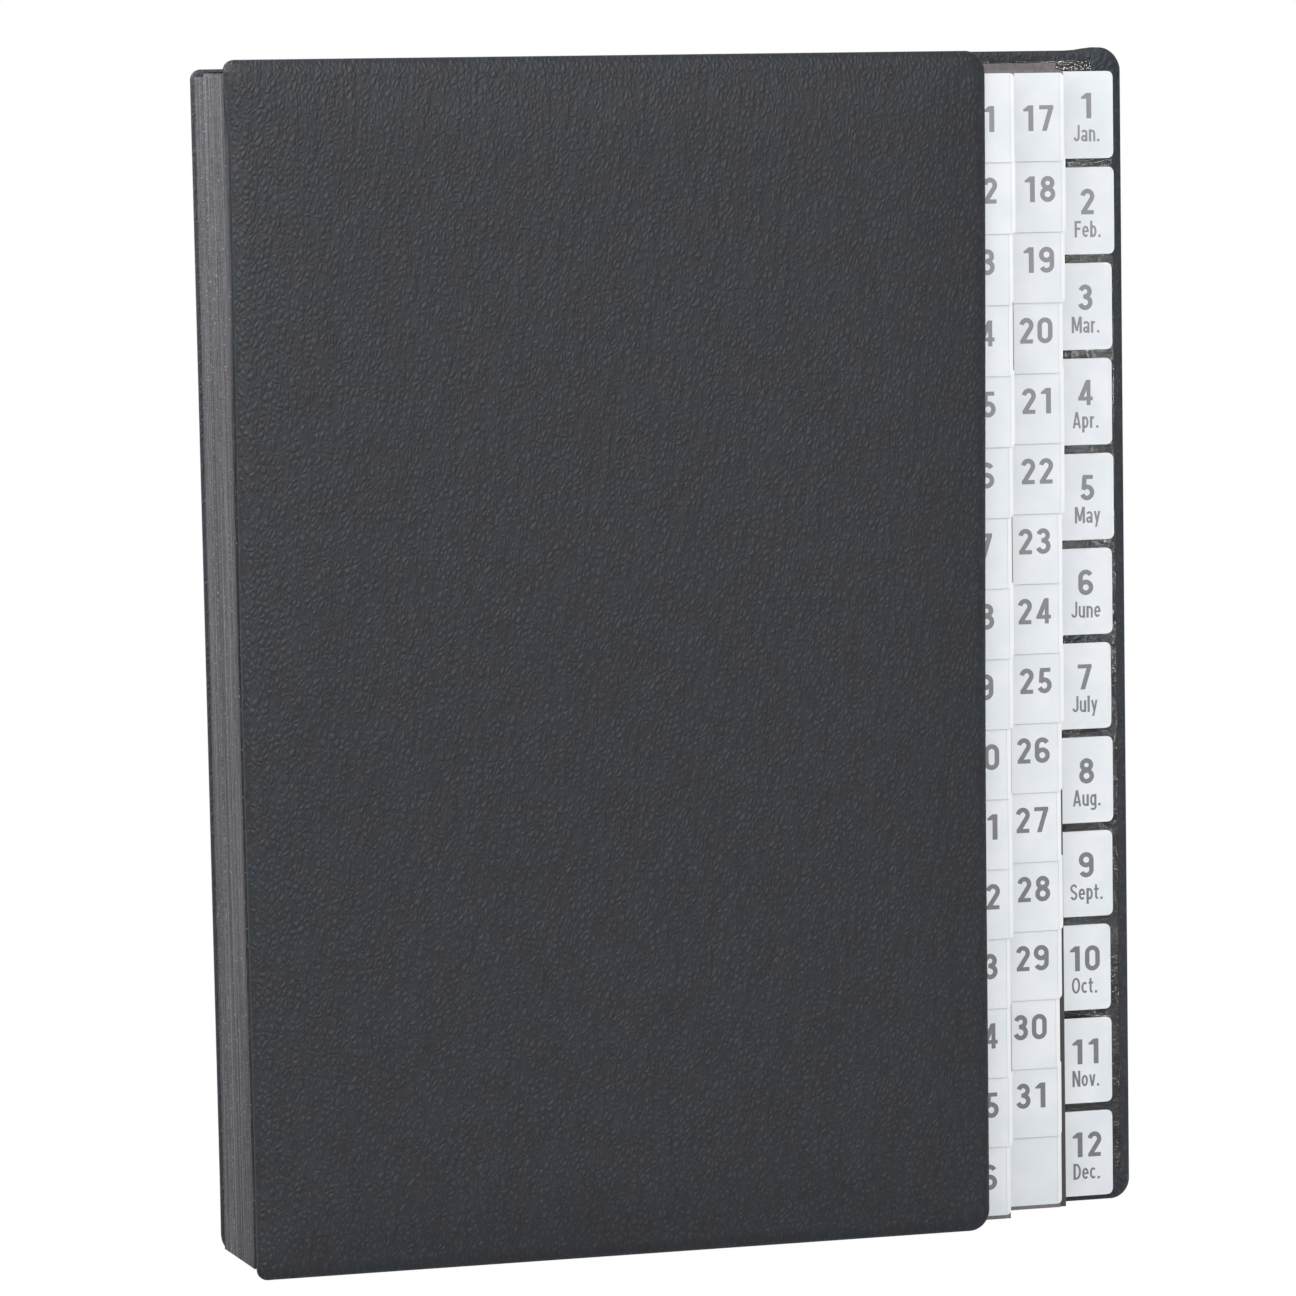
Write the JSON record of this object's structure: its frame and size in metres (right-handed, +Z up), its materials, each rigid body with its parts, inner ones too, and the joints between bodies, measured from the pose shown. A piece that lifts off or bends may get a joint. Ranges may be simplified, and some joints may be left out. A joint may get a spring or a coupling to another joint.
{
  "type": "daily file sorter",
  "caption": "Upright desk sorter for A4 papers: padded covers, pleated linen spine and staggered day and month divider leaves.",
  "frame": {"origin": "middle of the foot: the centre of the covers' outline, on the surface that the sorter stands on", "axes": "+X from the spine to the fore edge, +Y from the front cover to the back cover, +Z up"},
  "size_m": [0.2776, 0.0424, 0.34],
  "materials": {
    "leatherette": "satin pebble grain",
    "lining": "glossy fine grain",
    "linen": "dull woven",
    "tab_card": "laminated tabs on card"
  },
  "bodies": {
    "block": {"spine": "linen", "divider_day_01": "tab_card", "divider_day_02": "tab_card", "divider_day_03": "tab_card", "divider_day_04": "tab_card", "divider_day_05": "tab_card", "divider_day_06": "tab_card", "divider_day_07": "tab_card", "divider_day_08": "tab_card", "divider_day_09": "tab_card", "divider_day_10": "tab_card", "divider_day_11": "tab_card", "divider_day_12": "tab_card", "divider_day_13": "tab_card", "divider_day_14": "tab_card", "divider_day_15": "tab_card", "divider_day_16": "tab_card", "divider_day_17": "tab_card", "divider_day_18": "tab_card", "divider_day_19": "tab_card", "divider_day_20": "tab_card", "divider_day_21": "tab_card", "divider_day_22": "tab_card", "divider_day_23": "tab_card", "divider_day_24": "tab_card", "divider_day_25": "tab_card", "divider_day_26": "tab_card", "divider_day_27": "tab_card", "divider_day_28": "tab_card", "divider_day_29": "tab_card", "divider_day_30": "tab_card", "divider_day_31": "tab_card", "divider_blank": "tab_card", "divider_month_01": "tab_card", "divider_month_02": "tab_card", "divider_month_03": "tab_card", "divider_month_04": "tab_card", "divider_month_05": "tab_card", "divider_month_06": "tab_card", "divider_month_07": "tab_card", "divider_month_08": "tab_card", "divider_month_09": "tab_card", "divider_month_10": "tab_card", "divider_month_11": "tab_card", "divider_month_12": "tab_card"},
    "front": {"front_cover": "leatherette", "front_lining": "lining"},
    "back": {"back_cover": "leatherette", "back_lining": "lining"}
  },
  "joints": [
    {"name": "front_cover_hinge", "type": "hinge", "parent": "block", "child": "front", "pos_m": [-0.13875, -0.01665, 0.17], "axis": [0, 0, -1], "range_deg": [0, 175]},
    {"name": "back_cover_hinge", "type": "hinge", "parent": "block", "child": "back", "pos_m": [-0.13875, 0.01815, 0.17], "axis": [0, 0, 1], "range_deg": [0, 175]}
  ]
}
